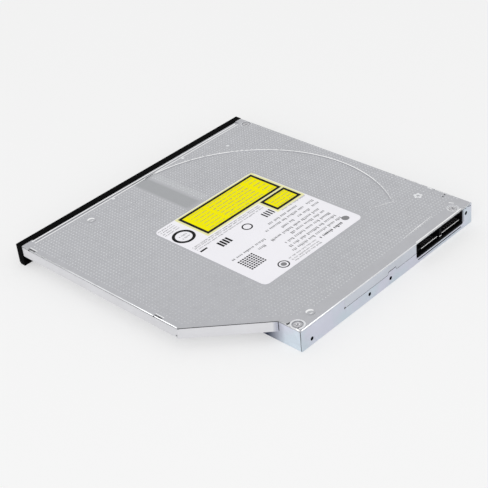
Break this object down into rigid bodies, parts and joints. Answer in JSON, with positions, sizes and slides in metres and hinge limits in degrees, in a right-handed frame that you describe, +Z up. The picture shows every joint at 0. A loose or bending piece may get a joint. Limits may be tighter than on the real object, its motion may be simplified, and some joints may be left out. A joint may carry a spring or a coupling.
{
  "type": "internal blu-ray writer",
  "caption": "Slim tray-load disc drive: flat steel case with a thin side wing, cut rear corner, telescoping disc tray, pickup on rods and a rear data and power socket.",
  "frame": {"origin": "on the bottom face, under the middle of the whole drive with its bezel", "axes": "+X to the drive's right seen from the bezel side, +Y from the bezel to the rear face, +Z up"},
  "size_m": [0.1286, 0.1298, 0.0096],
  "materials": {
    "case_steel": "zinc-coated, satin, with fine pressed dots on the cover",
    "label_film": "white printed film",
    "screw_steel": "bright",
    "guide_plastic": "moulded, natural",
    "rail_steel": "bright rolled",
    "tray_plastic": "moulded, fine grain",
    "bezel_plastic": "moulded, fine grain",
    "frame_steel": "plain rolled",
    "rotor_metal": "turned",
    "sled_metal": "die-cast",
    "black_plastic": "moulded",
    "magnet_dark": "sintered",
    "contact_gold": "gold plated",
    "coil_copper": "enamelled wire",
    "board_green": "lacquered",
    "capacitor_tan": "ceramic",
    "flex_film": "white film",
    "soft_rubber": "soft",
    "lamp_clear": "clear",
    "lens_glass": "coated"
  },
  "bodies": {
    "case": {"bottom_case": "case_steel", "top_cover": "case_steel", "rating_label": "label_film", "cover_screws": "screw_steel", "rail_guide_left": "guide_plastic", "rail_guide_right": "guide_plastic", "latch_post": "screw_steel", "main_board": "board_green", "board_screws": "screw_steel", "controller_chip": "black_plastic", "driver_chips": "black_plastic", "board_capacitors": "capacitor_tan", "flex_connector": "black_plastic", "main_flex": "flex_film", "socket_housing": "black_plastic", "socket_contacts": "contact_gold"},
    "tray": {"tray": "tray_plastic", "tray_bottom_plate": "rail_steel", "plate_screws": "screw_steel", "front_bezel": "bezel_plastic", "lamp_window": "lamp_clear", "tray_board": "board_green", "eject_switch": "black_plastic", "lamp": "lamp_clear", "tray_board_screws": "screw_steel", "mechanism_frame": "frame_steel", "mechanism_shield": "rail_steel", "rubber_mounts": "soft_rubber", "mount_screws": "screw_steel", "guide_rods": "rail_steel", "rod_holders": "guide_plastic", "feed_motor": "rail_steel", "feed_bracket": "rail_steel", "motor_base": "rail_steel", "stator_core": "magnet_dark", "stator_coils": "coil_copper", "latch_pin": "screw_steel", "latch_solenoid": "black_plastic"},
    "left_rail": {"slide_rail_left": "rail_steel"},
    "right_rail": {"slide_rail_right": "rail_steel"},
    "button": {"eject_button": "bezel_plastic"},
    "rotor": {"turntable": "rotor_metal", "turntable_pad": "soft_rubber", "rotor_magnet": "magnet_dark"},
    "claw_1": {"hub_claw_1": "black_plastic"},
    "claw_2": {"hub_claw_2": "black_plastic"},
    "claw_3": {"hub_claw_3": "black_plastic"},
    "pickup": {"pickup_sled": "sled_metal", "feed_rack": "guide_plastic", "actuator_magnets": "magnet_dark"},
    "lens": {"lens_holder": "black_plastic", "objective_lenses": "lens_glass"},
    "feed_screw": {"lead_screw": "rail_steel"},
    "latch": {"latch_lever": "rail_steel"},
    "plunger": {"solenoid_plunger": "rail_steel"}
  },
  "joints": [
    {"name": "tray_slide", "type": "slide", "parent": "case", "child": "tray", "axis": [0, -1, 0], "range_m": [0, 0.126]},
    {"name": "left_rail_slide", "type": "slide", "parent": "case", "child": "left_rail", "axis": [0, -1, 0], "range_m": [0, 0.063]},
    {"name": "right_rail_slide", "type": "slide", "parent": "case", "child": "right_rail", "axis": [0, -1, 0], "range_m": [0, 0.063]},
    {"name": "eject_button_press", "type": "slide", "parent": "tray", "child": "button", "axis": [0, 1, 0], "range_m": [0, 0.0005], "stiffness_N_per_m": 400},
    {"name": "disc_motor_spin", "type": "hinge", "parent": "tray", "child": "rotor", "pos_m": [0.001, 0.00185, 0.005], "axis": [0, 0, 1], "continuous": true},
    {"name": "hub_claw_1_press", "type": "slide", "parent": "rotor", "child": "claw_1", "axis": [-1, 0, 0], "range_m": [0, 0.0004], "stiffness_N_per_m": 300},
    {"name": "hub_claw_2_press", "type": "slide", "parent": "rotor", "child": "claw_2", "axis": [0.5, -0.866, 0], "range_m": [0, 0.0004], "stiffness_N_per_m": 300},
    {"name": "hub_claw_3_press", "type": "slide", "parent": "rotor", "child": "claw_3", "axis": [0.5, 0.866, 0], "range_m": [0, 0.0004], "stiffness_N_per_m": 300},
    {"name": "pickup_feed", "type": "slide", "parent": "tray", "child": "pickup", "axis": [0, -1, 0], "range_m": [0, 0.0335]},
    {"name": "lead_screw_turn", "type": "hinge", "parent": "tray", "child": "feed_screw", "pos_m": [0.028, -0.0312, 0.00315], "axis": [0, 1, 0], "range_deg": [0, 4020.5]},
    {"name": "lens_focus", "type": "slide", "parent": "pickup", "child": "lens", "axis": [0, 0, 1], "range_m": [-0.0003, 0.0003], "stiffness_N_per_m": 40},
    {"name": "latch_turn", "type": "hinge", "parent": "tray", "child": "latch", "pos_m": [0.0245, 0.0288, 0.0029], "axis": [0, 0, 1], "range_deg": [0, 12]},
    {"name": "solenoid_stroke", "type": "slide", "parent": "tray", "child": "plunger", "axis": [0, 1, 0], "range_m": [0, 0.00105]}
  ],
  "couplings": [
    {"joint": "left_rail_slide", "follows": "tray_slide", "ratio": 0.5},
    {"joint": "right_rail_slide", "follows": "tray_slide", "ratio": 0.5},
    {"joint": "lead_screw_turn", "follows": "pickup_feed", "rad_per_m": 2094.4},
    {"joint": "solenoid_stroke", "follows": "latch_turn", "m_per_rad": 0.005}
  ]
}
